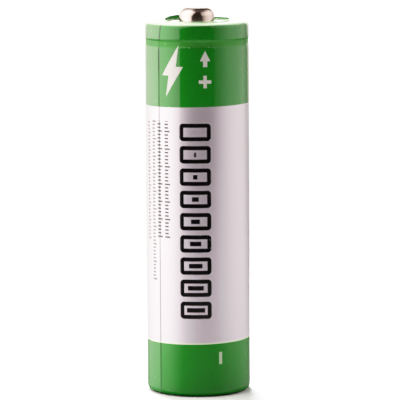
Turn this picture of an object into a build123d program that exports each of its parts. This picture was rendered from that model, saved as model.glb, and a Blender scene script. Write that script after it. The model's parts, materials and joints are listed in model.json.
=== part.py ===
"""AA size nickel metal hydride cell, in millimetres: base on z = 0, axis on +Z, positive button up, front on -Y."""

from build123d import *
from math import cos, radians, sin
import os

# Outside of the finished cell
cell_diameter = 13.6
cell_length = 50.5
button_rise = 1.74  # button's top above the film's shoulder

# Stock
film = 0.1
can_wall = 0.25
cap_wall = 0.25
fit_gap = 0.02  # slack left between neighbours that are assembled by hand or by shrinking

# Printed film
cell_radius = cell_diameter / 2
shoulder_height = cell_length - button_rise
base_bend = 0.85
shoulder_bend = 0.57
base_opening_radius = 4.6
top_opening_radius = 4.25
lip_height = 0.32  # cut edge of the film standing up round the button
lip_bend = 0.12
seam_angle = 223.5  # degrees from +X
seam_lap_angle = 25.0
seam_lap_height = 0.04
seam_lap_margin = 0.2  # below the bead's dip

# Rolled bead in the can
bead_height = 45.9
bead_root_radius = 5.95
bead_root_width = 0.54
bead_flank_height = 0.65
bead_outer_bend = 0.4
bead_root_bend = 0.3
film_dip = 0.085  # how far the film sinks where it bridges the bead
film_dip_bend = 2.5

# Can
can_radius = cell_radius - film - fit_gap
can_inner_radius = can_radius - can_wall
pad_radius = 4.3
pad_drop = film + fit_gap  # the contact pad is pushed down level with the film's fold
pad_flank = 0.15
pad_bend = 0.2
can_base_bend = 0.8
crimp_bend = 0.42
crimp_inner_radius = 5.05
washer_thickness = 0.3
crimp_top = shoulder_height - film - fit_gap - washer_thickness

# Lid, gasket and button
sealant_thickness = 0.06
sealant_height = 0.9
gasket_radius = can_inner_radius - sealant_thickness - fit_gap
gasket_inner_radius = 5.15
gasket_top = crimp_top - can_wall - fit_gap
gasket_bottom = 46.63
gasket_chamfer = 0.3
lid_radius = 5.9
lid_thickness = 0.36
lid_bottom = 47.15
lid_top = lid_bottom + lid_thickness
vent_radius = 0.6
seat_inner_radius = 0.75
seat_outer_radius = 0.95
seat_height = 0.1
button_top_radius = 2.22
button_foot_radius = 2.42
button_bend = 1.0
button_foot_bend = 0.25
flange_radius = 4.7
button_hole_radius = 0.2
button_hole_rise = 0.62  # above the lid
button_hole_count = 3
washer_inner_radius = 2.75
washer_inset = 0.65  # keeps the ring inside the film's shoulder bend

# Resealable vent
seal_radius = 1.55
seal_thickness = 0.55
seal_bottom = lid_top + seat_height
valve_radius = 1.97
valve_crown = 0.2
valve_crown_bottom = seal_bottom + seal_thickness
valve_skirt_rise = 0.2  # skirt's edge above the seal's face
valve_skirt_bottom = seal_bottom + valve_skirt_rise
valve_seal_slack = 0.05
valve_flat = 1.8  # distance from the axis to each gas flat
valve_boss_radius = 0.75
valve_boss_height = 0.2
spring_wire_radius = 0.11
spring_mean_radius = 1.1
spring_turns = 3.5
spring_bottom = valve_crown_bottom + valve_crown + fit_gap
spring_top = cell_length - cap_wall - fit_gap

# Wound pack: strips laid on one another from the core outwards
separator_thickness = 0.13
positive_thickness = 0.65
coat_thickness = 0.13
substrate_thickness = 0.06
strip_gap = 0.01
inner_separator_start = 0.0
positive_start = inner_separator_start + separator_thickness + strip_gap
outer_separator_start = positive_start + positive_thickness + strip_gap
inner_coat_start = outer_separator_start + separator_thickness + strip_gap
substrate_start = inner_coat_start + coat_thickness
outer_coat_start = substrate_start + substrate_thickness
pack_pitch = outer_coat_start + coat_thickness + 2 * strip_gap
half_pitch = pack_pitch / 2
core_radius = 0.93
last_half_turn = 6

# Heights inside the can
floor_height = pad_drop + can_wall
insulator_thickness = 0.2
upper_insulator_radius = can_inner_radius - 0.13
lower_insulator_radius = can_inner_radius - (can_base_bend - can_wall) - fit_gap
insulator_hole_radius = 1.0
separator_bottom = floor_height + insulator_thickness + fit_gap
separator_top = 43.2
electrode_bottom = 1.3
electrode_top = 42.5
upper_insulator_bottom = separator_top + fit_gap

# Positive tab
tab_thickness = 0.1
tab_width = 2.4
tab_half_turn = 4
tab_face = core_radius + tab_half_turn * half_pitch + positive_start + positive_thickness
tab_sink = 0.23  # tab's middle below the electrode's face, where the foam is pressed flat
tab_y = tab_face - tab_sink
tab_foot = 38.6
tab_fold_height = 44.6
tab_far_y = -2.6
tab_far_height = 45.48
tab_end_y = -0.9
tab_bend = 0.4
tab_slot_length = 3.2
tab_slot_width = 0.7
tape_thickness = 0.06
tape_bottom = 43.3
tape_top = 44.1


def formed_sheet(points, bends, thickness, side):
    """Outline of a bent sheet: one face drawn as a line with rounded bends, the other offset to one side."""
    with BuildLine() as outline:
        FilletPolyline(*points, radius=bends)
        offset(amount=thickness, side=side)
    return outline.line


def ring_section(inner, outer, bottom, top, mode=Mode.ADD):
    """Rectangular section of a ring, or of a disc when inner is 0."""
    with Locations(((inner + outer) / 2, (bottom + top) / 2)):
        Rectangle(outer - inner, top - bottom, mode=mode)


def half_turn_arc(half_turn, depth):
    """One half turn of a wound strip's face, at a depth in the stack of strips."""
    above = half_turn % 2 == 0
    centre = (-half_pitch / 2 if above else half_pitch / 2, 0)
    radius = core_radius + half_turn * half_pitch + depth
    return CenterArc(centre, radius, 0 if above else 180, 180)


def wound_strip(start, thickness, first, last):
    """Outline of the end of a strip wound from half turn first to half turn last, counted from the core."""
    with BuildLine() as outline:
        inner = [half_turn_arc(turn, start) for turn in range(first, last + 1)]
        outer = [half_turn_arc(turn, start + thickness) for turn in range(first, last + 1)]
        Line(inner[0] @ 0, outer[0] @ 0)
        Line(inner[-1] @ 1, outer[-1] @ 1)
    return outline.line


def radial_plane(angle):
    """Plane through the axis: local x points away from the axis at this angle, local y points up."""
    along = (cos(radians(angle)), sin(radians(angle)), 0)
    across = (sin(radians(angle)), -cos(radians(angle)), 0)
    return Plane(origin=(0, 0, 0), x_dir=along, z_dir=across)


# Printed shrink film, folded over both ends, with the lap of its glued seam
bead_low = bead_height - bead_root_width / 2
bead_high = bead_height + bead_root_width / 2
film_line = [
    (base_opening_radius, 0),
    (cell_radius, 0),
    (cell_radius, bead_low - bead_flank_height),
    (cell_radius - film_dip, bead_low),
    (cell_radius - film_dip, bead_high),
    (cell_radius, bead_high + bead_flank_height),
    (cell_radius, shoulder_height),
    (top_opening_radius, shoulder_height),
    (top_opening_radius, shoulder_height + lip_height),
]
film_bends = [base_bend] + [film_dip_bend] * 4 + [shoulder_bend, lip_bend]
with BuildPart() as label_sleeve:
    with BuildSketch(Plane.XZ):
        make_face(formed_sheet(film_line, film_bends, film, Side.LEFT))
    revolve(axis=Axis.Z)
    with BuildSketch(radial_plane(seam_angle - seam_lap_angle)):
        ring_section(
            cell_radius - film / 2,
            cell_radius + seam_lap_height,
            base_bend,
            bead_low - bead_flank_height - seam_lap_margin,
        )
    revolve(axis=Axis.Z, revolution_arc=seam_lap_angle)

# Drawn steel cup: coined contact pad, rolled bead, and rim crimped over the gasket
can_line = [
    (0, 0),
    (pad_radius, 0),
    (pad_radius + pad_flank, pad_drop),
    (can_radius, pad_drop),
    (can_radius, bead_low - bead_flank_height),
    (bead_root_radius, bead_low),
    (bead_root_radius, bead_high),
    (can_radius, bead_high + bead_flank_height),
    (can_radius, crimp_top),
    (crimp_inner_radius, crimp_top),
]
can_bends = [
    pad_bend,
    pad_bend,
    can_base_bend,
    bead_outer_bend,
    bead_root_bend,
    bead_root_bend,
    bead_outer_bend,
    crimp_bend,
]
with BuildPart() as can:
    with BuildSketch(Plane.XZ):
        make_face(formed_sheet(can_line, can_bends, can_wall, Side.LEFT))
    revolve(axis=Axis.Z)

# White fibre ring between the crimp and the film
with BuildPart() as top_washer:
    with BuildSketch(Plane.XZ):
        ring_section(
            washer_inner_radius,
            cell_radius - washer_inset,
            crimp_top,
            crimp_top + washer_thickness,
        )
    revolve(axis=Axis.Z)

# Positive button with its welding flange, and gas holes round the button's foot
cap_line = [
    (0, cell_length),
    (button_top_radius, cell_length),
    (button_foot_radius, lid_top + cap_wall),
    (flange_radius, lid_top + cap_wall),
]
with BuildPart() as positive_cap:
    with BuildSketch(Plane.XZ):
        make_face(formed_sheet(cap_line, [button_bend, button_foot_bend], cap_wall, Side.RIGHT))
    revolve(axis=Axis.Z)
    with Locations((0, 0, lid_top + button_hole_rise)):
        with PolarLocations(button_foot_radius, button_hole_count, start_angle=90):
            Cylinder(button_hole_radius, 4 * cap_wall, rotation=(0, 90, 0), mode=Mode.SUBTRACT)

# Steel lid with its vent hole and the raised seat round it
with BuildPart() as sealing_plate:
    with BuildSketch(Plane.XZ):
        ring_section(vent_radius, lid_radius, lid_bottom, lid_top)
        ring_section(seat_inner_radius, seat_outer_radius, lid_top, lid_top + seat_height)
    revolve(axis=Axis.Z)

# Nylon ring that grips the lid's rim and keeps it off the can
with BuildPart() as gasket:
    with BuildSketch(Plane.XZ):
        with BuildLine():
            Polyline(
                (gasket_inner_radius, gasket_bottom),
                (gasket_radius - gasket_chamfer, gasket_bottom),
                (gasket_radius, gasket_bottom + gasket_chamfer),
                (gasket_radius, gasket_top - gasket_chamfer),
                (gasket_radius - gasket_chamfer, gasket_top),
                (gasket_inner_radius, gasket_top),
                close=True,
            )
        make_face()
        ring_section(
            0, lid_radius + fit_gap, lid_bottom - fit_gap, lid_top + fit_gap, mode=Mode.SUBTRACT
        )
    revolve(axis=Axis.Z)

# Bitumen film that seals the gasket against the can
with BuildPart() as sealant_ring:
    with BuildSketch(Plane.XZ):
        ring_section(
            gasket_radius + fit_gap / 2,
            gasket_radius + fit_gap / 2 + sealant_thickness,
            gasket_bottom + gasket_chamfer,
            gasket_bottom + gasket_chamfer + sealant_height,
        )
    revolve(axis=Axis.Z)

# Rubber disc that closes the vent hole
with BuildPart() as valve_seal:
    with BuildSketch(Plane.XY.offset(seal_bottom)):
        Circle(seal_radius)
    extrude(amount=seal_thickness)

# Steel cup that carries the seal, with three flats that let the gas pass
with BuildPart() as valve_plate:
    with BuildSketch(Plane.XY.offset(valve_skirt_bottom)):
        Circle(valve_radius)
        RegularPolygon(valve_flat, 3, major_radius=False, rotation=30, mode=Mode.INTERSECT)
    extrude(amount=valve_crown_bottom + valve_crown - valve_skirt_bottom)
    with BuildSketch(Plane.XY.offset(valve_skirt_bottom)):
        Circle(seal_radius + valve_seal_slack)
    extrude(amount=valve_crown_bottom - valve_skirt_bottom, mode=Mode.SUBTRACT)
    with BuildSketch(Plane.XY.offset(valve_crown_bottom + valve_crown)):
        Circle(valve_boss_radius)
    extrude(amount=valve_boss_height)

# Coil spring between the valve cup and the inside of the button
spring_height = spring_top - spring_bottom - 2 * spring_wire_radius
with BuildPart() as vent_spring:
    with BuildLine() as coil:
        Helix(
            pitch=spring_height / spring_turns,
            height=spring_height,
            radius=spring_mean_radius,
            center=(0, 0, spring_bottom + spring_wire_radius),
        )
    with BuildSketch(Plane(origin=coil.line @ 0, z_dir=coil.line % 0)):
        Circle(spring_wire_radius)
    sweep(path=coil.line, is_frenet=True)

# Wound pack, from the core outwards
with BuildPart() as separator_inner:
    with BuildSketch(Plane.XY.offset(separator_bottom)):
        make_face(wound_strip(inner_separator_start, separator_thickness, 0, last_half_turn))
    extrude(amount=separator_top - separator_bottom)

with BuildPart() as positive_electrode:
    with BuildSketch(Plane.XY.offset(electrode_bottom)):
        make_face(wound_strip(positive_start, positive_thickness, 1, last_half_turn - 1))
    extrude(amount=electrode_top - electrode_bottom)
    # Foam pressed flat under the foot of the tab
    with BuildSketch(Plane.XY.offset(tab_foot - fit_gap)):
        with Locations((-half_pitch / 2, (tab_y + tab_face) / 2)):
            Rectangle(tab_width + 2 * fit_gap, tab_face - tab_y + tab_thickness + 2 * fit_gap)
    extrude(amount=electrode_top - tab_foot + 2 * fit_gap, mode=Mode.SUBTRACT)

with BuildPart() as separator_outer:
    with BuildSketch(Plane.XY.offset(separator_bottom)):
        make_face(wound_strip(outer_separator_start, separator_thickness, 0, last_half_turn))
    extrude(amount=separator_top - separator_bottom)

with BuildPart() as negative_coat_inner:
    with BuildSketch(Plane.XY.offset(electrode_bottom)):
        make_face(wound_strip(inner_coat_start, coat_thickness, 1, last_half_turn))
    extrude(amount=electrode_top - electrode_bottom)

with BuildPart() as negative_substrate:
    with BuildSketch(Plane.XY.offset(electrode_bottom)):
        make_face(wound_strip(substrate_start, substrate_thickness, 1, last_half_turn))
    extrude(amount=electrode_top - electrode_bottom)

with BuildPart() as negative_coat_outer:
    with BuildSketch(Plane.XY.offset(electrode_bottom)):
        make_face(wound_strip(outer_coat_start, coat_thickness, 1, last_half_turn))
    extrude(amount=electrode_top - electrode_bottom)

# Discs that keep the pack's edges off the can's floor and off the lid
with BuildPart() as lower_insulator:
    with BuildSketch(Plane.XY.offset(floor_height)):
        Circle(lower_insulator_radius)
        Circle(insulator_hole_radius, mode=Mode.SUBTRACT)
    extrude(amount=insulator_thickness)

with BuildPart() as upper_insulator:
    with BuildSketch(Plane.XY.offset(upper_insulator_bottom)):
        Circle(upper_insulator_radius)
        Circle(insulator_hole_radius, mode=Mode.SUBTRACT)
        with Locations((-half_pitch / 2, tab_y)):
            Rectangle(tab_slot_length, tab_slot_width, mode=Mode.SUBTRACT)
    extrude(amount=insulator_thickness)

# Nickel strip, folded back on itself, from the positive electrode to the underside of the lid
tab_line = [
    (tab_y, tab_foot),
    (tab_y, tab_fold_height),
    (tab_far_y, tab_far_height),
    (tab_far_y, lid_bottom - tab_thickness / 2),
    (tab_end_y, lid_bottom - tab_thickness / 2),
]
with BuildPart() as positive_tab:
    with BuildSketch(Plane.YZ.offset(-half_pitch / 2 - tab_width / 2)):
        with BuildLine():
            FilletPolyline(*tab_line, radius=tab_bend)
        trace(line_width=tab_thickness)
    extrude(amount=tab_width)

# Insulating tape wrapped round the tab where it passes the upper insulator
with BuildPart() as tab_tape:
    with BuildSketch(Plane.XY.offset(tape_bottom)):
        with Locations((-half_pitch / 2, tab_y)):
            Rectangle(
                tab_width + 2 * (fit_gap + tape_thickness),
                tab_thickness + 2 * (fit_gap + tape_thickness),
            )
            Rectangle(tab_width + 2 * fit_gap, tab_thickness + 2 * fit_gap, mode=Mode.SUBTRACT)
    extrude(amount=tape_top - tape_bottom)

sub_parts = {
    "label_sleeve": label_sleeve,
    "can": can,
    "top_washer": top_washer,
    "positive_cap": positive_cap,
    "sealing_plate": sealing_plate,
    "gasket": gasket,
    "sealant_ring": sealant_ring,
    "valve_seal": valve_seal,
    "valve_plate": valve_plate,
    "vent_spring": vent_spring,
    "separator_inner": separator_inner,
    "positive_electrode": positive_electrode,
    "separator_outer": separator_outer,
    "negative_coat_inner": negative_coat_inner,
    "negative_substrate": negative_substrate,
    "negative_coat_outer": negative_coat_outer,
    "lower_insulator": lower_insulator,
    "upper_insulator": upper_insulator,
    "positive_tab": positive_tab,
    "tab_tape": tab_tape,
}
os.makedirs("parts", exist_ok=True)
for label, sub_part in sub_parts.items():
    sub_part.part.label = label
    export_step(sub_part.part, f"parts/{label}.step")
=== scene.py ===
"""AA size nickel metal hydride cell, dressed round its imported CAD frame.

Metres: base on z = 0, axis on +Z, button up, front on -Y. Angles on the cell's side are measured from
the front, positive towards +X. Print layouts are in millimetres on the film: u along the curve from the
front line, v upwards.
"""

from math import atan2, cos, hypot, pi, radians, sin
import json

import bpy
from mathutils import Euler, Matrix, Vector


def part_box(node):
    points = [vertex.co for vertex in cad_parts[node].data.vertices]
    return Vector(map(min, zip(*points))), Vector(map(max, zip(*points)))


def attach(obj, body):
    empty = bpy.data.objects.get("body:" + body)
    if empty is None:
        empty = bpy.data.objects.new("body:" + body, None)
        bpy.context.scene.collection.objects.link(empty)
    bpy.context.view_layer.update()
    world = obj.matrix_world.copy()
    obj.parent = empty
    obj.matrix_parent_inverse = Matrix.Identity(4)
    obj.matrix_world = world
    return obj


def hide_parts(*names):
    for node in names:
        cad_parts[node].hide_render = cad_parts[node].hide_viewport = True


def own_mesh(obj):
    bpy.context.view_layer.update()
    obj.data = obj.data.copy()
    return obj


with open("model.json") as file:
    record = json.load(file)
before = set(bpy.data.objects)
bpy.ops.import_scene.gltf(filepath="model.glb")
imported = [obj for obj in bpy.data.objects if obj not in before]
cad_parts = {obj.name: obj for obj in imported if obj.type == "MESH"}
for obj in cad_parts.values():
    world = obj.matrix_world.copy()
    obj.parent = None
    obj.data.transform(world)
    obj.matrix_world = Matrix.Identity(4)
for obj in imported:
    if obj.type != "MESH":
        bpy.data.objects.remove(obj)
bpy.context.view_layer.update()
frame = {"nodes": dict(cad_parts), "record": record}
nodes = frame["nodes"]

MM = 0.001

# Places taken from the frame
cell_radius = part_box("label_sleeve")[1].x
lip_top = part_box("label_sleeve")[1].z
washer_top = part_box("top_washer")[1].z
spring_low, spring_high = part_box("vent_spring")

# Film
FILM = 0.1 * MM
FILM_GAP = 0.02 * MM
BASE_BEND = 0.85 * MM
SHOULDER_BEND = 0.57 * MM
LIP_BEND = 0.12 * MM
BASE_OPENING = 4.6 * MM
TOP_OPENING = 4.25 * MM
ROW_STEP = 0.8 * MM
FILM_COLUMNS = 300
shoulder = washer_top + FILM_GAP + FILM

# Dip of the film over the bead
BEAD_HEIGHT = 46.2 * MM  # the stretched film dips above the middle of the steel's bead
DIP_DEPTH = 0.075 * MM
DIP_HALF_HEIGHT = 0.54 * MM
DIP_FLOOR_SHARE = 0.45  # of the dip's half height that is flat
DIP_ROWS = 12

# Cut lip and shrunk top of the film. Waves are (size, waves round the cell, phase)
LIP_LEVEL = 0.98  # share of the lip's height in the CAD
LIP_SWING = 0.75  # how much higher the lip stands behind on the left, and how much lower in front
LIP_PROUD_ANGLE = radians(-140)
LIP_PROUD_SPREAD = (radians(45), radians(5))
LIP_LOW_SPREAD = (radians(95), radians(50))
LIP_WAVES = [(0.07, 7, 0.6), (0.04, 17, 0.0)]
LIP_SHIFT_WAVES = [(0.03 * MM, 5, 1.0)]
PLEAT_HEIGHT = 0.012 * MM
PLEAT_WAVES = [(0.3, 23, 0.0), (0.2, 41, 2.0)]
PLEAT_LEVEL = 0.5
PLEAT_START = 0.6  # share of the shoulder's bend, in from the cell's side
PLEAT_MARGIN = 0.5 * MM

# Glued seam, as angles from the front
SEAM_ANGLE = radians(-46.5)
LAP_WIDTH = radians(25)
LAP_FULL_SHARE = 0.6  # of the lap's width that stands at its full height
LAP_HEIGHT = 0.04 * MM
LAP_EDGE = radians(0.25)
SEAM_COLUMNS = (-2, -1, -0.4, 0, 0.4, 1, 2)  # extra mesh columns at the seam, in lap edges

# Vent
WIRE_RADIUS = 0.11 * MM
WIRE_SIDES = 12
SPRING_TURNS = 3.5
TURN_STEPS = 48
TURN_CLOSING = 0.12  # how far the end turns close up

SHARP_ANGLE = radians(40)


def smooth_step(low, high, value):
    """0 below low, 1 above high, and smooth between them."""
    share = min(1.0, max(0.0, (value - low) / (high - low)))
    return share * share * (3 - 2 * share)


def wave_sum(angle, waves):
    """Sum of sine waves that run round the cell."""
    return sum(size * sin(count * angle + phase) for size, count, phase in waves)


# ---------------------------------------------------------------- meshes


def add_piece(name, points, faces, body, slot, *replaced):
    """A smooth-shaded mesh piece with sharp cut edges that rides on a body and stands for CAD nodes."""
    mesh = bpy.data.meshes.new(name)
    mesh.from_pydata(points, [], faces)
    mesh.validate()
    mesh.shade_smooth()
    mesh.set_sharp_from_angle(angle=SHARP_ANGLE)
    piece = bpy.data.objects.new(name, mesh)
    bpy.context.scene.collection.objects.link(piece)
    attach(piece, body)
    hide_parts(*replaced)
    return piece


def bent_line(corners, bends, arc_steps=10):
    """Points of a line in the (r, z) plane whose inner corners, all right angles, are rounded to bends."""
    points = [corners[0]]
    for before, corner, after, bend in zip(corners, corners[1:], corners[2:], bends):
        here = Vector(corner)
        back, on = (Vector(before) - here).normalized(), (Vector(after) - here).normalized()
        centre = here + (back + on) * bend
        start = atan2(*reversed(here + back * bend - centre))
        turn = (atan2(*reversed(here + on * bend - centre)) - start + pi) % (2 * pi) - pi
        for step in range(arc_steps + 1):
            angle = start + turn * step / arc_steps
            points.append((centre.x + bend * cos(angle), centre.y + bend * sin(angle)))
    points.append(corners[-1])
    return points


def refined(points, longest):
    """The same line with no step longer than longest."""
    fine = [points[0]]
    for (r0, z0), (r1, z1) in zip(points, points[1:]):
        steps = max(1, round(hypot(r1 - r0, z1 - z0) / longest))
        fine += [(r0 + (r1 - r0) * i / steps, z0 + (z1 - z0) * i / steps) for i in range(1, steps + 1)]
    return fine


def normals_of(points):
    """Outward normals of a line in the (r, z) plane that runs up the outside of the cell."""
    found = []
    for index in range(len(points)):
        r0, z0 = points[max(index - 1, 0)]
        r1, z1 = points[min(index + 1, len(points) - 1)]
        length = hypot(r1 - r0, z1 - z0)
        found.append(((z1 - z0) / length, -(r1 - r0) / length))
    return found


def lap_rise(angle, height):
    """How far the film stands proud where it laps over itself beside the seam."""
    if not BASE_BEND < height < BEAD_HEIGHT - DIP_HALF_HEIGHT:
        return 0.0
    behind = SEAM_ANGLE - angle
    across = smooth_step(-LAP_EDGE, LAP_EDGE, behind)
    across *= 1 - smooth_step(LAP_WIDTH * LAP_FULL_SHARE, LAP_WIDTH, behind)
    ends = smooth_step(BASE_BEND, BASE_BEND * 2, height)
    ends *= 1 - smooth_step(BEAD_HEIGHT - DIP_HALF_HEIGHT * 2, BEAD_HEIGHT - DIP_HALF_HEIGHT, height)
    return LAP_HEIGHT * across * ends


def lip_scale(angle):
    """Height of the film's cut lip round the button, as a share of its height in the CAD."""
    proud = LIP_SWING * smooth_step(*LIP_PROUD_SPREAD, abs(angle - LIP_PROUD_ANGLE))
    low_front = LIP_SWING * smooth_step(*LIP_LOW_SPREAD, abs(angle))
    return LIP_LEVEL + proud - low_front + wave_sum(angle, LIP_WAVES)


def film_point(r, z, angle):
    """Place of a point of the film, given where it would be on a perfectly even sleeve."""
    if z > shoulder + LIP_BEND:
        z = shoulder + (z - shoulder) * lip_scale(angle)
        r += wave_sum(angle, LIP_SHIFT_WAVES)
    pleat = PLEAT_LEVEL + wave_sum(angle, PLEAT_WAVES)
    on_top = smooth_step(cell_radius - SHOULDER_BEND * PLEAT_START, TOP_OPENING + PLEAT_MARGIN, r)
    if BEAD_HEIGHT < z <= shoulder + LIP_BEND:
        z += PLEAT_HEIGHT * pleat * on_top
    return r * sin(angle), -r * cos(angle), z


def dip_line():
    """The film's outline over the bead: two flanks and a flat floor."""
    line = []
    for step in range(-DIP_ROWS, DIP_ROWS + 1):
        sunk = DIP_DEPTH * (1 - smooth_step(DIP_FLOOR_SHARE, 1.0, abs(step) / DIP_ROWS))
        line.append((cell_radius - sunk, BEAD_HEIGHT + DIP_HALF_HEIGHT * step / DIP_ROWS))
    return line


def build_film():
    """Shrink film: one closed thin shell, folded over both ends, with its dip, its lap and its cut lip."""
    outline = [
        (BASE_OPENING, 0.0),
        (cell_radius, 0.0),
        (cell_radius, shoulder),
        (TOP_OPENING, shoulder),
        (TOP_OPENING, lip_top),
    ]
    even_line = refined(bent_line(outline, [BASE_BEND, SHOULDER_BEND, LIP_BEND]), ROW_STEP)
    dip = dip_line()
    line = [p for p in even_line if p[1] < dip[0][1]] + dip + [p for p in even_line if p[1] > dip[-1][1]]
    normals = normals_of(line)
    even = [2 * pi * step / FILM_COLUMNS - pi for step in range(FILM_COLUMNS)]
    close = [SEAM_ANGLE + LAP_EDGE * step for step in SEAM_COLUMNS]
    angles = sorted(set(a for a in even if abs(a - SEAM_ANGLE) > 2 * LAP_EDGE) | set(close))
    points = []
    for angle in angles:
        for (r, z), (nr, _) in zip(line, normals):
            points.append(film_point(r + lap_rise(angle, z) * nr, z, angle))
        for (r, z), (nr, nz) in reversed(list(zip(line, normals))):
            points.append(film_point(r - nr * FILM, z - nz * FILM, angle))
    count = 2 * len(line)
    faces = []
    for column in range(len(angles)):
        here, there = column * count, (column + 1) % len(angles) * count
        for row in range(count):
            up = (row + 1) % count
            faces.append((here + row, there + row, there + up, here + up))
    return add_piece("film_sleeve", points, faces, "cell", "printed_film", "label_sleeve")


def coil_rise(share):
    """Share of the spring's height reached at a share of its wire, slow in the closed end turns."""
    at_start, here, at_end = [smooth_step(-TURN_CLOSING, 1 + TURN_CLOSING, value) for value in (0, share, 1)]
    return (here - at_start) / (at_end - at_start)


def build_spring():
    """Coil spring with closed end turns, wound from round wire."""
    mean_radius = spring_high.x - WIRE_RADIUS
    low, high = spring_low.z + WIRE_RADIUS, spring_high.z - WIRE_RADIUS
    steps, sides = round(SPRING_TURNS * TURN_STEPS), WIRE_SIDES
    centres = []
    for step in range(steps + 1):
        rise = coil_rise(step / steps)
        angle = 2 * pi * SPRING_TURNS * step / steps
        height = low + (high - low) * rise
        centres.append(Vector((mean_radius * cos(angle), mean_radius * sin(angle), height)))
    points = []
    for index, centre in enumerate(centres):
        ahead = (centres[min(index + 1, steps)] - centres[max(index - 1, 0)]).normalized()
        outward = Vector((centre.x, centre.y, 0)).normalized()
        outward = (outward - ahead * outward.dot(ahead)).normalized()
        across = ahead.cross(outward)
        for side in range(sides):
            turn = 2 * pi * side / sides
            points.append(centre + (outward * cos(turn) + across * sin(turn)) * WIRE_RADIUS)
    faces = []
    for ring in range(steps):
        here, there = ring * sides, (ring + 1) * sides
        for side in range(sides):
            after = (side + 1) % sides
            faces.append((here + after, there + after, there + side, here + side))
    faces.append(tuple(range(sides)))
    faces.append(tuple(reversed(range(steps * sides, (steps + 1) * sides))))
    piece = add_piece("spring_coil", points, faces, "cell", "spring_steel", "vent_spring")
    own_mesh(piece)
    return piece


# ---------------------------------------------------------------- shader fields


class Field:
    """A number that varies over a surface. Arithmetic on it adds shader math nodes."""

    def __init__(self, tree, socket):
        self.tree, self.socket = tree, socket

    def math(self, operation, *others, clamp=False):
        node = self.tree.nodes.new("ShaderNodeMath")
        node.operation, node.use_clamp = operation, clamp
        for slot, value in zip(node.inputs, (self, *others)):
            if isinstance(value, Field):
                self.tree.links.new(value.socket, slot)
            else:
                slot.default_value = value
        return Field(self.tree, node.outputs[0])

    def __add__(self, other):
        return self.math("ADD", other)

    def __sub__(self, other):
        return self.math("SUBTRACT", other)

    def __rsub__(self, other):
        return self.math("MULTIPLY", -1.0).math("ADD", other)

    def __mul__(self, other):
        return self.math("MULTIPLY", other)

    def __truediv__(self, other):
        return self.math("DIVIDE", other)

    def __abs__(self):
        return self.math("ABSOLUTE")

    __radd__, __rmul__ = __add__, __mul__

    def least(self, other):
        return self.math("MINIMUM", other)

    def most(self, other):
        return self.math("MAXIMUM", other)

    def clamped(self):
        return self.math("ADD", 0.0, clamp=True)

    def above(self, limit):
        return self.math("GREATER_THAN", limit)

    def step(self, low, high):
        """0 at low, 1 at high, smooth between."""
        share = ((self - low) / (high - low)).clamped()
        return share * share * (3 - share * 2)


COLOUR_SLOTS, COLOUR_RESULT = (6, 7), 2  # colour sockets of a Mix node, which has some for each data type


def inside(distance, softness=0.05):
    """1 where a signed distance is negative, with a soft edge."""
    return (0.5 - distance / softness).clamped()


def box_distance(u, v, centre, size):
    return (abs(u - centre[0]) - size[0] / 2).most(abs(v - centre[1]) - size[1] / 2)


def wedge_distance(u, v, corners):
    """Signed distance to a convex shape whose corners run anticlockwise."""
    found = None
    for (u0, v0), (u1, v1) in zip(corners, corners[1:] + corners[:1]):
        length = hypot(u1 - u0, v1 - v0)
        side = (u - u0) * ((v1 - v0) / length) - (v - v0) * ((u1 - u0) / length)
        found = side if found is None else found.most(side)
    return found


class Surface:
    """A Principled shader driven by fields over the object's own coordinates, in mm."""

    def __init__(self, name):
        self.material = bpy.data.materials.new(name)
        self.material.use_nodes = True
        self.tree = self.material.node_tree
        self.shader = self.tree.nodes["Principled BSDF"]
        scale = self.tree.nodes.new("ShaderNodeVectorMath")
        scale.operation = "SCALE"
        scale.inputs["Scale"].default_value = 1 / MM
        self.tree.links.new(self.tree.nodes.new("ShaderNodeTexCoord").outputs["Object"], scale.inputs[0])
        self.place = scale.outputs[0]
        split = self.tree.nodes.new("ShaderNodeSeparateXYZ")
        self.tree.links.new(self.place, split.inputs[0])
        self.x, self.y, self.z = [Field(self.tree, socket) for socket in split.outputs]

    def noise(self, size, detail=3.0, stretch=(1, 1, 1)):
        """Soft random field whose features are about size mm across, stretched along each axis."""
        mapping = self.tree.nodes.new("ShaderNodeMapping")
        mapping.inputs["Scale"].default_value = [1 / (size * s) for s in stretch]
        self.tree.links.new(self.place, mapping.inputs["Vector"])
        node = self.tree.nodes.new("ShaderNodeTexNoise")
        node.inputs["Scale"].default_value = 1.0
        node.inputs["Detail"].default_value = detail
        self.tree.links.new(mapping.outputs[0], node.inputs["Vector"])
        return Field(self.tree, node.outputs[0])

    def cells(self, size):
        """Distance to the nearest of a scatter of points about size mm apart, in units of size."""
        node = self.tree.nodes.new("ShaderNodeTexVoronoi")
        node.inputs["Scale"].default_value = 1 / size
        self.tree.links.new(self.place, node.inputs["Vector"])
        return Field(self.tree, node.outputs["Distance"])

    def blend(self, low, high, share):
        """Colour socket that runs from low to high; each is a colour or a socket."""
        node = self.tree.nodes.new("ShaderNodeMix")
        node.data_type = "RGBA"
        self.tree.links.new(share.socket, node.inputs["Factor"])
        for slot, value in zip(COLOUR_SLOTS, (low, high)):
            if isinstance(value, tuple):
                node.inputs[slot].default_value = (*value, 1)
            else:
                self.tree.links.new(value, node.inputs[slot])
        return node.outputs[COLOUR_RESULT]

    def set(self, name, value):
        slot = self.shader.inputs[name]
        if isinstance(value, Field):
            self.tree.links.new(value.socket, slot)
        elif isinstance(value, bpy.types.NodeSocket):
            self.tree.links.new(value, slot)
        else:
            slot.default_value = value

    def bump(self, height, depth, slot="Normal"):
        """Bends the normal as if height, from 0 to 1, stood depth mm high."""
        node = self.tree.nodes.new("ShaderNodeBump")
        node.inputs["Distance"].default_value = depth * MM
        self.tree.links.new(height.socket, node.inputs["Height"])
        self.set(slot, node.outputs[0])

    def cover(self, item):
        item.data.materials.clear()
        item.data.materials.append(self.material)


# ---------------------------------------------------------------- printed film

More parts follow.
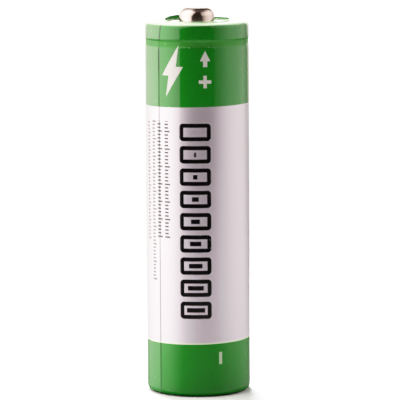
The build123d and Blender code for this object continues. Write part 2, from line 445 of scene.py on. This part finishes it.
FILM_SILVER = (0.575, 0.51, 0.6)
FLOOR_LIT_SILVER = (0.65, 0.59, 0.68)
MINUS_SILVER = (0.3, 0.38, 0.26)  # thin ink over the silver, so greener
MARK_SILVER = (0.46, 0.44, 0.42)
RING_SILVER = (0.66, 0.72, 0.56)
FILM_GREEN = (0.004, 0.13, 0.006)
FILM_INK = (0.001, 0.0008, 0.001)
LAP_HAZE = (0.8, 0.82, 0.78)
# painted shadow: the dark line that the lap's raised edge casts along the seam
SEAM_SHADOW_COLOUR = (0.02, 0.03, 0.02)
DUST = (0.75, 0.75, 0.72)
TOP_REFLECTION_GREEN = (0.6, 0.8, 0.55)  # painted reflection: pale green over the shoulder and the film's top, where they mirror the white backdrop
# painted shade: darker green on the lip behind the button and on its front crest
LIP_SHADE_GREEN = (0.01, 0.07, 0.01)
BEAD_LIGHT_GREEN = (0.035, 0.17, 0.025)  # painted light: lighter green where the film's dip over the bead catches more light on its tilted walls
BASE_SHADE = (0.0, 0.01, 0.002)
FILM_METAL = 0.85
GREEN_METAL = 0.35
MARK_DULLNESS = 0.45
FILM_ROUGHNESS = 0.37
FLOOR_LIGHT_AND_ROUGH_ZONE = (38.0, 6.0)  # heights between which the silver is painted lighter, as floor light, and the film made rougher, both towards the base
LOWER_ROUGHNESS = 0.17
RING_STRENGTH = 0.85
HAZE_STRENGTH = 0.04
SEAM_SHADE = 0.42
SEAM_SHADE_AT_TOP = 0.5  # more, where the film is drawn over the bead and shoulder
SEAM_TOP_ZONE = (41.0, 44.0)
SEAM_SHIFT, SEAM_SHIFT_ZONE = 0.3, (45.9, 48.7)  # the seam is pulled aside as it runs over the bead
SEAM_HALF_WIDTH, SEAM_SOFTNESS = 0.11, 0.12
LAP_SOFTNESS = 0.5
MINUS_ZONE = (12.0, 8.0)
BAND_EDGE = (0.36, 0.56)  # distances from the middle of the dip
DUST_PITCH, DUST_SIZE, DUST_EDGE = 1.6, 0.035, 0.02
BASE_SHADE_ZONE = (0.45, 0.15)
BASE_DULL_ZONE = (0.85, 0.45)
MOTTLE_SIZE = 3.0
FILM_TONES, GREEN_TONES = (0.96, 1.04), (0.92, 1.1)  # shares of each colour that the mottling runs between
# patchy spread of the painted reflection over the shoulder
TOP_REFLECTION_PATCH_SIZE, TOP_REFLECTION_LEAST, TOP_REFLECTION_SPREAD = 0.9, 0.45, 0.5
BEAD_LIGHT_STRENGTH, LIP_SHADE_STRENGTH, DUST_STRENGTH = 0.6, 0.8, 0.45
FILM_GRAIN_SIZE, FILM_GRAIN_ROUGHNESS = 0.5, 0.08
BAND_DULLNESS, BACK_LIP_DULLNESS, SEAM_DULLNESS = 0.65, 0.8, 0.45  # share of the gloss that each loses
SMEAR_SIZE, SMEAR_ZONE, SMEAR_ROUGHNESS = 5.0, (0.5, 0.75), 0.05
COAT_ROUGHNESS, DUST_ROUGHNESS = 0.03, 0.3
COAT_WAVE_SIZE, COAT_WAVE_DEPTH = 2.6, 0.0006
FILM_WAVE_SIZE, FILM_WAVE_DEPTH = 0.9, 0.0012

# Zones above and below the film's shoulder, and the lip's places on the cell's axes
FOLD_ZONE = (-0.3, -0.05)
LIP_ZONE = (0.04, 0.1)
LIP_BEHIND_ZONE = (-1.5, 0.5)
CREST_ZONE = (0.06, 0.16)
CREST_PLACE, CREST_SPREAD = 0.4, (1.6, 0.9)

# Print layout in mm: u to the right of the front line, v above the base
TOP_RING, TOP_RING_SLOPE = 38.05, 0.017
BOTTOM_RING, BOTTOM_RING_SLOPE = 7.13, 0.0142
RING_LINE = 0.16
ARROW_HEAD = [(0.37, 44.01), (1.73, 44.01), (1.05, 45.33)]
ARROW_STEM = ((1.05, 43.66), (0.55, 0.8))
PLUS_CENTRE = (1.03, 41.33)
PLUS_ARMS = (1.62, 1.6)
PLUS_STROKE = 0.43
MINUS = ((2.95, 5.15), (0.43, 1.6))
BOLT = [
    [(-3.03, 42.12), (-2.43, 46.05), (-4.9, 42.12)],
    [(-3.72, 43.27), (-4.32, 39.34), (-1.83, 43.27)],
]
GAUGE_U = -0.32
GAUGE_LOW, GAUGE_HIGH = 10.1, 36.26
GAUGE_CELLS = 9
GAUGE_SIZE = (4.15, 2.3)
GAUGE_CORNER = 0.5
GAUGE_STROKE = 0.56
GAUGE_LEVEL = (2.4, 0.62)  # the bar inside the fullest cell
SCALES = [  # centre u, width, low v, high v, strength of the ink
    (-4.2, 0.85, 20.8, 36.2, 0.95),
    (-5.45, 0.9, 20.8, 36.15, 0.95),
    (-6.55, 0.85, 15.1, 36.2, 0.9),
    (-7.9, 0.9, 20.4, 36.15, 0.9),
]
SCALE_PITCH = 0.46
SCALE_STROKE = 0.25
SCALE_LONG_EVERY = 5
SCALE_SHORT = 0.72  # length of the short ticks as a share of the long ones


def gauge_mark(u, v):
    """Signed distance to a charge gauge: a stack of outlined cells whose bars shorten from the base up."""
    pitch = (GAUGE_HIGH - GAUGE_LOW) / GAUGE_CELLS
    cell = ((v - GAUGE_LOW) / pitch).math("FLOOR")
    across, up = u - GAUGE_U, v - GAUGE_LOW - cell * pitch - pitch / 2
    side = (abs(across) - (GAUGE_SIZE[0] / 2 - GAUGE_CORNER)).most(0.0)
    end = (abs(up) - (GAUGE_SIZE[1] / 2 - GAUGE_CORNER)).most(0.0)
    shell = (side * side + end * end).math("SQRT") - GAUGE_CORNER
    flat = (abs(across) - GAUGE_SIZE[0] / 2).most(abs(up) - GAUGE_SIZE[1] / 2)
    outline = shell.most(-GAUGE_STROKE - flat)
    level = (1.0 - cell / (GAUGE_CELLS - 1)) * GAUGE_LEVEL[0]
    bar = (abs(across) - level / 2).most(abs(up) - GAUGE_LEVEL[1] / 2)
    middle = (GAUGE_LOW + GAUGE_HIGH) / 2
    column = box_distance(u, v, (GAUGE_U, middle), (GAUGE_SIZE[0], GAUGE_HIGH - GAUGE_LOW))
    return outline.least(bar).most(column)


def scale_mark(u, v, centre_u, width, low, high):
    """Signed distance to a plain scale of ticks, every fifth one long."""
    tick = ((v - low) / SCALE_PITCH).math("FLOOR")
    along = abs(v - low - (tick + 0.5) * SCALE_PITCH) - SCALE_STROKE / 2
    is_long = 1.0 - (tick / SCALE_LONG_EVERY).math("FRACT").above(0.5 / SCALE_LONG_EVERY)
    length = (is_long * (1 - SCALE_SHORT) + SCALE_SHORT) * width
    across = u - centre_u + width / 2 - length / 2
    mark = (abs(across) - length / 2).most(along)
    return mark.most(box_distance(u, v, (centre_u, (low + high) / 2), (width, high - low)))


def tones(colour, low, high):
    """Two tones of a colour, for mottling it."""
    return tuple(c * low for c in colour), tuple(min(1.0, c * high) for c in colour)


def film_print(s, u, v):
    """Where the green ends, the bare fine ring, the green ink and the black ink lie."""
    top = v - s.x * TOP_RING_SLOPE - TOP_RING
    bottom = v - s.x * BOTTOM_RING_SLOPE - BOTTOM_RING
    ends = inside(-1.0 * top).most(inside(bottom))
    ring = inside(abs(bottom) - RING_LINE / 2)

    arrow = wedge_distance(u, v, ARROW_HEAD).least(box_distance(u, v, *ARROW_STEM))
    plus = box_distance(u, v, PLUS_CENTRE, (PLUS_ARMS[0], PLUS_STROKE))
    plus = plus.least(box_distance(u, v, PLUS_CENTRE, (PLUS_STROKE, PLUS_ARMS[1])))
    bolt = wedge_distance(u, v, BOLT[0]).least(wedge_distance(u, v, BOLT[1]))
    marks = arrow.least(plus).least(bolt).least(box_distance(u, v, *MINUS))
    green = ends * (1.0 - inside(marks))

    ink = inside(gauge_mark(u, v))
    for *place, strength in SCALES:
        ink = ink.most(inside(scale_mark(u, v, *place)) * strength)
    return ends, ring, green, ink


def film_seam(u, v):
    """Where the painted shadow line along the seam and the lap beside it lie."""
    radius = cell_radius / MM
    behind = u - (SEAM_ANGLE * radius + v.step(*SEAM_SHIFT_ZONE) * SEAM_SHIFT)
    half_lap = LAP_WIDTH * radius / 2
    seam = inside(abs(behind) - SEAM_HALF_WIDTH, SEAM_SOFTNESS)
    return seam, inside(abs(behind + half_lap) - half_lap, LAP_SOFTNESS)


def film_folds(s, v):
    """Where the film is drawn into the bead and painted lighter there, where a painted reflection lies over
    the shoulder, and where it stands up in its lip, which takes painted shade.
    """
    above = v - shoulder / MM
    band = 1.0 - abs(v - BEAD_HEIGHT / MM).step(*BAND_EDGE)
    back_lip = above.step(*LIP_ZONE) * s.y.step(*LIP_BEHIND_ZONE)
    crest = above.step(*CREST_ZONE) * abs(s.x - CREST_PLACE).step(*CREST_SPREAD)
    reflection_patches = s.noise(TOP_REFLECTION_PATCH_SIZE, 3, stretch=(1, 1, 4)) * TOP_REFLECTION_SPREAD + TOP_REFLECTION_LEAST
    top_reflection = above.step(*FOLD_ZONE) * (1.0 - back_lip) * reflection_patches
    return band, back_lip, crest, top_reflection


def film_material():
    """Metallised film under green and black ink and a clear gloss face."""
    s = Surface("printed_film")
    u, v = s.x.math("ARCTAN2", s.y * -1.0) * (cell_radius / MM), s.z
    ends, ring, green, ink = film_print(s, u, v)
    seam, lap = film_seam(u, v)
    band, back_lip, crest, top_reflection = film_folds(s, v)
    dust = inside(s.cells(DUST_PITCH) - DUST_SIZE, DUST_EDGE)

    mottle = s.noise(MOTTLE_SIZE, 4, stretch=(1, 1, 3))
    silver = s.blend(*tones(FILM_SILVER, *FILM_TONES), mottle)
    # painted floor light: the silver is lighter towards the base
    silver = s.blend(silver, FLOOR_LIT_SILVER, v.step(*FLOOR_LIGHT_AND_ROUGH_ZONE))
    silver = s.blend(silver, MARK_SILVER, ends)
    silver = s.blend(silver, MINUS_SILVER, ends * v.step(*MINUS_ZONE))
    colour = s.blend(silver, s.blend(*tones(FILM_GREEN, *GREEN_TONES), mottle), green)
    colour = s.blend(colour, RING_SILVER, ring * RING_STRENGTH)
    colour = s.blend(colour, FILM_INK, ink)
    colour = s.blend(colour, LAP_HAZE, lap * HAZE_STRENGTH)
    # painted shadow along the lap's edge at the seam, stronger over the bead and shoulder
    colour = s.blend(colour, SEAM_SHADOW_COLOUR, seam * (v.step(*SEAM_TOP_ZONE) * SEAM_SHADE_AT_TOP + SEAM_SHADE))
    # painted reflection over the shoulder and the film's top
    colour = s.blend(colour, TOP_REFLECTION_GREEN, top_reflection)
    # painted light on the bead's band
    colour = s.blend(colour, BEAD_LIGHT_GREEN, green * band * BEAD_LIGHT_STRENGTH)
    # painted shade on the lip
    colour = s.blend(colour, LIP_SHADE_GREEN, back_lip.most(crest) * LIP_SHADE_STRENGTH)
    colour = s.blend(colour, BASE_SHADE, v.step(*BASE_SHADE_ZONE))
    s.set("Base Color", s.blend(colour, DUST, dust * DUST_STRENGTH))

    bare = (1.0 - green) * (1.0 - ink) * (FILM_METAL - ends * MARK_DULLNESS)
    s.set("Metallic", bare.most(green * GREEN_METAL))
    lower_roughness = v.step(*FLOOR_LIGHT_AND_ROUGH_ZONE) * LOWER_ROUGHNESS
    s.set("Roughness", lower_roughness + s.noise(FILM_GRAIN_SIZE, 3) * FILM_GRAIN_ROUGHNESS + FILM_ROUGHNESS)
    s.set("Specular IOR Level", 0.0)
    gloss = (1.0 - v.step(*BASE_DULL_ZONE)) * (1.0 - back_lip * BACK_LIP_DULLNESS)
    s.set("Coat Weight", gloss * (1.0 - band * BAND_DULLNESS) * (1.0 - seam * SEAM_DULLNESS))
    smears = s.noise(SMEAR_SIZE, 5, stretch=(1, 1, 2)).step(*SMEAR_ZONE)
    s.set("Coat Roughness", COAT_ROUGHNESS + smears * SMEAR_ROUGHNESS + dust * DUST_ROUGHNESS)
    s.bump(s.noise(COAT_WAVE_SIZE, 2), COAT_WAVE_DEPTH, "Coat Normal")
    s.bump(s.noise(FILM_WAVE_SIZE, 2), FILM_WAVE_DEPTH)
    return s


# ---------------------------------------------------------------- metal, plastic and pack materials


# Plated metal, by the record's slot: colour, size of the drawing lines in mm, their stretch, roughness
METALS = {
    "nickel_can": ((0.72, 0.7, 0.66), 0.25, (1, 1, 12), 0.24),
    "nickel_button": ((0.56, 0.435, 0.41), 0.12, (1, 1, 1), 0.1),
    "lid_steel": ((0.68, 0.67, 0.64), 0.25, (8, 1, 1), 0.3),
    "valve_steel": ((0.7, 0.69, 0.67), 0.1, (1, 1, 12), 0.28),
    "nickel_strip": ((0.74, 0.71, 0.64), 0.25, (1, 1, 12), 0.26),
    "spring_steel": ((0.66, 0.65, 0.64), 0.05, (1, 1, 12), 0.25),
}
LINE_TONE, LINE_ROUGHNESS = 0.93, 0.08
STAIN = (0.25, 0.2, 0.15)
TARNISH_SIZE, TARNISH_ZONE = 2.2, (0.52, 0.78)
TARNISH_STRENGTH, TARNISH_ROUGHNESS = 0.18, 0.12
PIT_PITCH, PIT_SIZE, PIT_STRENGTH = 0.5, 0.09, 0.45
PIT_PATCH_SIZE, PIT_PATCH_ZONE = 1.3, (0.5, 0.6)
METAL_RELIEF = 0.004

# Soft solids, by slot: dark and light tone, size of the grain in mm, its stretch, its depth in mm, roughness
SOFT_SOLIDS = {
    "washer_fibre": ((0.72, 0.71, 0.67), (0.9, 0.89, 0.85), 0.12, (3, 3, 1), 0.02, 0.8),
    "gasket_nylon": ((0.78, 0.76, 0.68), (0.86, 0.85, 0.78), 0.6, (1, 1, 1), 0.004, 0.4),
    "sealant_bitumen": ((0.01, 0.009, 0.008), (0.04, 0.035, 0.03), 0.3, (1, 1, 1), 0.02, 0.25),
    "valve_rubber": ((0.012, 0.012, 0.013), (0.035, 0.034, 0.034), 0.08, (1, 1, 1), 0.006, 0.65),
    "positive_paste": ((0.03, 0.05, 0.03), (0.12, 0.15, 0.1), 0.07, (1, 1, 1), 0.03, 0.75),
    "alloy_coat": ((0.03, 0.03, 0.032), (0.11, 0.11, 0.115), 0.06, (1, 1, 1), 0.02, 0.7),
    "insulator_plastic": ((0.8, 0.78, 0.7), (0.88, 0.86, 0.8), 0.9, (1, 1, 1), 0.004, 0.45),
    "tape_film": ((0.5, 0.32, 0.06), (0.62, 0.42, 0.12), 0.5, (4, 4, 1), 0.004, 0.3),
}
GRAIN_ZONE, GRAIN_ROUGHNESS = (0.3, 0.7), 0.15

FLEECE_TONES = (0.6, 0.59, 0.55), (0.9, 0.89, 0.86)
FIBRE_SIZE, FIBRE_STRETCH, FIBRE_ZONE, FIBRE_DEPTH = 0.09, 6, (0.45, 0.7), 0.03

FOIL_TONES, HOLE_COLOUR = ((0.5, 0.48, 0.45), (0.66, 0.64, 0.6)), (0.05, 0.05, 0.05)
FOIL_LINE_SIZE = 0.2
FOIL_ROUGHNESS, FOIL_LINE_ROUGHNESS, HOLE_ROUGHNESS = 0.3, 0.15, 0.4
HOLE_PITCH, HOLES_PER_RADIAN = 1.2, 5.0
HOLE_RADIUS, HOLE_EDGE = 0.28, 0.08  # as shares of the pitch
HOLE_DEPTH = 0.05


def metal(name, colour, grain, stretch, roughness):
    """Plated steel: drawing lines along the stretched axis, a faint tarnish and small pits."""
    s = Surface(name)
    lines = s.noise(grain, 6, stretch)
    tarnish = s.noise(TARNISH_SIZE, 5).step(*TARNISH_ZONE)
    pits = inside(s.cells(PIT_PITCH) - PIT_SIZE) * s.noise(PIT_PATCH_SIZE, 2).step(*PIT_PATCH_ZONE)
    plated = s.blend(tuple(c * LINE_TONE for c in colour), colour, lines)
    s.set("Base Color", s.blend(plated, STAIN, (tarnish * TARNISH_STRENGTH).most(pits * PIT_STRENGTH)))
    s.set("Metallic", 1.0)
    s.set("Roughness", roughness + lines * LINE_ROUGHNESS + tarnish * TARNISH_ROUGHNESS)
    s.bump(lines * 0.5 + (1.0 - pits) * 0.5, METAL_RELIEF)
    return s


def soft_solid(name, low, high, size, stretch, depth, roughness):
    """Moulded or pressed matter with a grain of two tones."""
    s = Surface(name)
    grain = s.noise(size, 5, stretch)
    s.set("Base Color", s.blend(low, high, grain.step(*GRAIN_ZONE)))
    s.set("Roughness", roughness + grain * GRAIN_ROUGHNESS)
    s.bump(grain, depth)
    return s


def fleece_material():
    """Melt-blown fibres that run up and round the strip."""
    s = Surface("separator_fleece")
    upright = s.noise(FIBRE_SIZE, 3, (1, 1, FIBRE_STRETCH))
    level = s.noise(FIBRE_SIZE, 3, (FIBRE_STRETCH, FIBRE_STRETCH, 1))
    fibres = upright.most(level)
    s.set("Base Color", s.blend(*FLEECE_TONES, fibres.step(*FIBRE_ZONE)))
    s.set("Roughness", 0.85)
    s.bump(fibres, FIBRE_DEPTH)
    return s


def punched_material():
    """Nickel-plated steel foil with rows of round holes shown as dark cups."""
    s = Surface("substrate_steel")
    angle = s.x.math("ARCTAN2", s.y)
    row = (s.z / HOLE_PITCH).math("FRACT") - 0.5
    column = (angle * HOLES_PER_RADIAN).math("FRACT") - 0.5
    hole = inside((row * row + column * column).math("SQRT") - HOLE_RADIUS, HOLE_EDGE)
    lines = s.noise(FOIL_LINE_SIZE, 5, (1, 1, 10))
    s.set("Base Color", s.blend(s.blend(*FOIL_TONES, lines), HOLE_COLOUR, hole))
    s.set("Metallic", 1.0 - hole)
    s.set("Roughness", FOIL_ROUGHNESS + lines * FOIL_LINE_ROUGHNESS + hole * HOLE_ROUGHNESS)
    s.bump(1.0 - hole, HOLE_DEPTH)
    return s


def dress(shown):
    """Gives the object shown for each CAD node the material of the node's slot in the record."""
    surfaces = {slot: metal(slot, *look) for slot, look in METALS.items()}
    surfaces |= {slot: soft_solid(slot, *look) for slot, look in SOFT_SOLIDS.items()}
    surfaces["printed_film"] = film_material()
    surfaces["substrate_steel"] = punched_material()
    surfaces["separator_fleece"] = fleece_material()
    for part in frame["record"]["subparts"]:
        surfaces[part["material_slot"]].cover(shown[part["node"]])


# ---------------------------------------------------------------- studio

CAMERA_PLACE = (0.0, -0.3941, 0.07585)
CAMERA_PITCH = radians(-7.33)
CAMERA_YAW = -0.00073
CAMERA_ROLL = -0.0059
LENS, SENSOR_WIDTH = 271.6, 36
CLIP_START, CLIP_END = 0.05, 10

WHITE_POINT = 2.2
RESPONSE = [(0.25, 0.25), (0.5, 0.5), (1.0, 0.8), (1.6, 0.95)]  # straight as far as the second point

# Light that reaches the cell, by direction: azimuth from the front and elevation in degrees, height as a sine
LAMP_TINT = (1.0, 0.95, 0.86)
LEFT_LAMP, LEFT_POWER = (-86.0, 6.0, 64.0, 64.0), 3.4  # azimuth, half width, softness to front and back
LEFT_SHEET = 1.45  # even light over the whole side
LEFT_DROP = 0.7  # share of each side's light lost towards the floor
LEFT_HEAD = (1.0, 0.86)  # height at which each side's light is gone, and at which it is full
RIGHT_LAMP, RIGHT_POWER = (100.0, 14.0, 55.0, 35.0), 1.6
RIGHT_SHEET = 0.2
RIGHT_DROP = 0.8
RIGHT_HEAD = (0.95, 0.55)
RIGHT_UPPER, RIGHT_UPPER_ZONE = 0.5, (0.05, 0.25)  # extra light above the right lamp's middle

DARK_SIDE = (0.04, 0.028, 0.022)
DARK_HALF_WIDTH = 0.624  # sine of the half angle that the dark side behind the camera fills
DARK_NARROWING = (0.9, 0.5)  # how far it closes at the zenith, on the left and on the right
DARK_EDGE, DARK_EDGE_BELOW = (-0.03, 0.03), (-0.1, 0.4)
DARK_ENDS, DARK_LOW_ENDS = (80.0, 100.0), (0.5, 0.2)  # it stops short of the back, except high up
CEILING_GLOW, CEILING_ZONE = 0.1, (0.75, 0.97)

BACKDROP = 2.3
BACKDROP_SPREAD = (138.0, 156.0)
BACKDROP_FOOT = (-8.0, 0.0)
BACKDROP_HEAD = (24.0, 13.0)

FLOOR_ZONE = (-8.0, -11.0)
FLOOR_GLOW = 0.28
NEAR_FLOOR_ZONE = (-14.0, -35.0)
NEAR_FLOOR_GLOW, NEAR_FLOOR_FRONT = 0.7, (0.3, -0.3)
BACK_FLOOR_GLOW = 0.1
FOOT_SHADOW = (-50.0, -32.0)
UNDER_CELL, UNDER_CELL_BACK = (-12.5, -18.0), (-0.2, 0.2)


def lamp_share(azimuth, centre, half, soft_front, soft_back):
    """1 across a softbox and falling off smoothly to its front and back sides, all in degrees."""
    front = abs(centre) - abs(azimuth)
    towards_front = 1.0 - front.step(half, half + soft_front)
    return towards_front * (1.0 - (front * -1.0).step(half, half + soft_back))


def side_light(x, y, z, azimuth, elevation, down):
    """Softboxes left and right, beside a dark side that runs from behind the camera over the top."""
    on_left, on_right = (azimuth * -1.0).above(0.0), azimuth.above(0.0)
    narrowing = on_left * DARK_NARROWING[0] + on_right * DARK_NARROWING[1]
    beyond = abs(x) - DARK_HALF_WIDTH * (1.0 - z.most(0.0) * narrowing)
    sharp, soft = beyond.step(*DARK_EDGE), beyond.step(*DARK_EDGE_BELOW)
    beside = (sharp + down * (soft - sharp)).most(abs(azimuth).step(*DARK_ENDS) * z.step(*DARK_LOW_ENDS))
    left = lamp_share(azimuth, *LEFT_LAMP) * LEFT_POWER + LEFT_SHEET
    left = left * (1.0 - down * LEFT_DROP) * z.step(*LEFT_HEAD)
    right = lamp_share(azimuth, *RIGHT_LAMP) * RIGHT_POWER + RIGHT_SHEET
    right = right * (1.0 - down * RIGHT_DROP) + z.step(*RIGHT_UPPER_ZONE) * RIGHT_UPPER
    sides = (left * on_left + right * z.step(*RIGHT_HEAD) * on_right) * beside
    return sides * (1.0 - y.step(*UNDER_CELL_BACK) * elevation.step(*UNDER_CELL))


def studio_light(x, y, z):
    """Strength of the light that reaches the cell from a direction."""
    azimuth = x.math("ARCTAN2", y * -1.0) * (180 / pi)
    elevation = z.math("ARCSINE") * (180 / pi)
    down = elevation.step(*FLOOR_ZONE)
    light = side_light(x, y, z, azimuth, elevation, down)
    near_floor = elevation.step(*NEAR_FLOOR_ZONE) * elevation.step(*FOOT_SHADOW)
    light = light + down * FLOOR_GLOW
    light = light + near_floor * (y.step(*NEAR_FLOOR_FRONT) * NEAR_FLOOR_GLOW + BACK_FLOOR_GLOW)
    backdrop = abs(azimuth).step(*BACKDROP_SPREAD)
    backdrop = backdrop * elevation.step(*BACKDROP_FOOT) * elevation.step(*BACKDROP_HEAD)
    return light + backdrop * (BACKDROP - light) + z.step(*CEILING_ZONE) * CEILING_GLOW


def build_world():
    """Plain white to the camera, and the studio's light to the cell."""
    world = bpy.data.worlds.new("studio")
    bpy.context.scene.world = world
    world.use_nodes = True
    tree = world.node_tree
    tree.nodes.clear()
    split = tree.nodes.new("ShaderNodeSeparateXYZ")
    tree.links.new(tree.nodes.new("ShaderNodeTexCoord").outputs["Generated"], split.inputs[0])
    light = studio_light(*[Field(tree, socket) for socket in split.outputs])

    tinted = tree.nodes.new("ShaderNodeCombineColor")
    for slot, tint, dark in zip(tinted.inputs, LAMP_TINT, DARK_SIDE):
        tree.links.new((light * tint + dark).socket, slot)
    lit, plain = tree.nodes.new("ShaderNodeBackground"), tree.nodes.new("ShaderNodeBackground")
    tree.links.new(tinted.outputs[0], lit.inputs["Color"])
    plain.inputs["Color"].default_value = (1, 1, 1, 1)
    plain.inputs["Strength"].default_value = WHITE_POINT
    choose = tree.nodes.new("ShaderNodeMixShader")
    tree.links.new(tree.nodes.new("ShaderNodeLightPath").outputs["Is Camera Ray"], choose.inputs[0])
    tree.links.new(lit.outputs[0], choose.inputs[1])
    tree.links.new(plain.outputs[0], choose.inputs[2])
    tree.links.new(choose.outputs[0], tree.nodes.new("ShaderNodeOutputWorld").inputs[0])


OVERHEAD_PLACE = (-0.08, 0.3, 0.55)
OVERHEAD_SIZE = 0.22
OVERHEAD_POWER = 17.0
FLOOR_RADIUS = 140 * MM
FLOOR_FADE = (40, 130)
FLOOR_RINGS, FLOOR_SIDES = 24, 96
FLOOR_CROWDING = 1.5  # how much closer the rings stand near the cell
FLOOR_TONES, FLOOR_MOTTLE_SIZE = ((0.84, 0.87, 0.9), (0.88, 0.91, 0.94)), 4.0
# painted contact shadow on the floor round the cell's foot
FLOOR_CONTACT_SHADOW = (0.68, 0.68, 0.68)
CONTACT_SHADOW_EDGE = (6.0, 7.5)


def build_floor():
    """Pale floor that takes the cell's soft shadow from the lamp and a painted contact shadow round its foot,
    and fades into the white around it.
    """
    rings, sides = FLOOR_RINGS, FLOOR_SIDES
    turns = [2 * pi * side / sides for side in range(sides)]
    points = [(0, 0, 0)]
    for ring in range(1, rings + 1):
        reach = FLOOR_RADIUS * (ring / rings) ** FLOOR_CROWDING
        points += [(reach * cos(turn), reach * sin(turn), 0) for turn in turns]
    faces = [(0, 1 + i, 1 + (i + 1) % sides) for i in range(sides)]
    for ring in range(rings - 1):
        a, b = 1 + ring * sides, 1 + (ring + 1) * sides
        faces += [(a + i, b + i, b + (i + 1) % sides, a + (i + 1) % sides) for i in range(sides)]
    mesh = bpy.data.meshes.new("studio_floor")
    mesh.from_pydata(points, [], faces)
    floor = bpy.data.objects.new("studio_floor", mesh)
    bpy.context.scene.collection.objects.link(floor)
    floor.visible_glossy = False

    s = Surface("floor_paper")
    reach = (s.x * s.x + s.y * s.y).math("SQRT")
    paper = s.blend(*FLOOR_TONES, s.noise(FLOOR_MOTTLE_SIZE, 4))
    # painted contact shadow, grey near the cell
    s.set("Base Color", s.blend(FLOOR_CONTACT_SHADOW, paper, reach.step(*CONTACT_SHADOW_EDGE)))
    s.set("Roughness", 0.9)
    s.set("Specular IOR Level", 0.0)
    s.set("Alpha", 1.0 - reach.step(*FLOOR_FADE))
    s.cover(floor)


def build_overhead():
    """Large soft lamp above the cell, for the contact shadow."""
    light = bpy.data.lights.new("overhead", "AREA")
    light.shape, light.size, light.energy = "DISK", OVERHEAD_SIZE, OVERHEAD_POWER
    lamp = bpy.data.objects.new("overhead", light)
    lamp.location = OVERHEAD_PLACE
    lamp.rotation_euler = Vector(OVERHEAD_PLACE).to_track_quat("Z", "Y").to_euler()
    lamp.visible_glossy = False
    bpy.context.scene.collection.objects.link(lamp)


def build_camera():
    """Long lens at the photograph's low angle."""
    camera = bpy.data.objects.new("camera", bpy.data.cameras.new("camera"))
    camera.data.lens, camera.data.sensor_width = LENS, SENSOR_WIDTH
    camera.data.clip_start, camera.data.clip_end = CLIP_START, CLIP_END
    turn = Euler((pi / 2 + CAMERA_PITCH, 0, CAMERA_YAW), "XYZ").to_matrix()
    turn = turn @ Matrix.Rotation(CAMERA_ROLL, 3, "Z")
    camera.matrix_world = Matrix.Translation(CAMERA_PLACE) @ turn.to_4x4()
    bpy.context.scene.collection.objects.link(camera)
    bpy.context.scene.camera = camera


def set_camera_response():
    """Straight response up to the midtones, then a soft shoulder that reaches white at WHITE_POINT."""
    view = bpy.context.scene.view_settings
    view.view_transform = "Standard"
    view.use_curve_mapping = True
    mapping = view.curve_mapping
    mapping.clip_max_x = WHITE_POINT
    curve = mapping.curves[3]
    curve.points[1].location = (WHITE_POINT, 1.0)
    for place in RESPONSE:
        curve.points.new(*place)
    for point in curve.points:
        point.handle_type = "AUTO_CLAMPED" if point.location[0] > RESPONSE[1][0] else "VECTOR"
    mapping.update()


dress({**nodes, "label_sleeve": build_film(), "vent_spring": build_spring()})
build_world()
build_floor()
build_overhead()
build_camera()
set_camera_response()
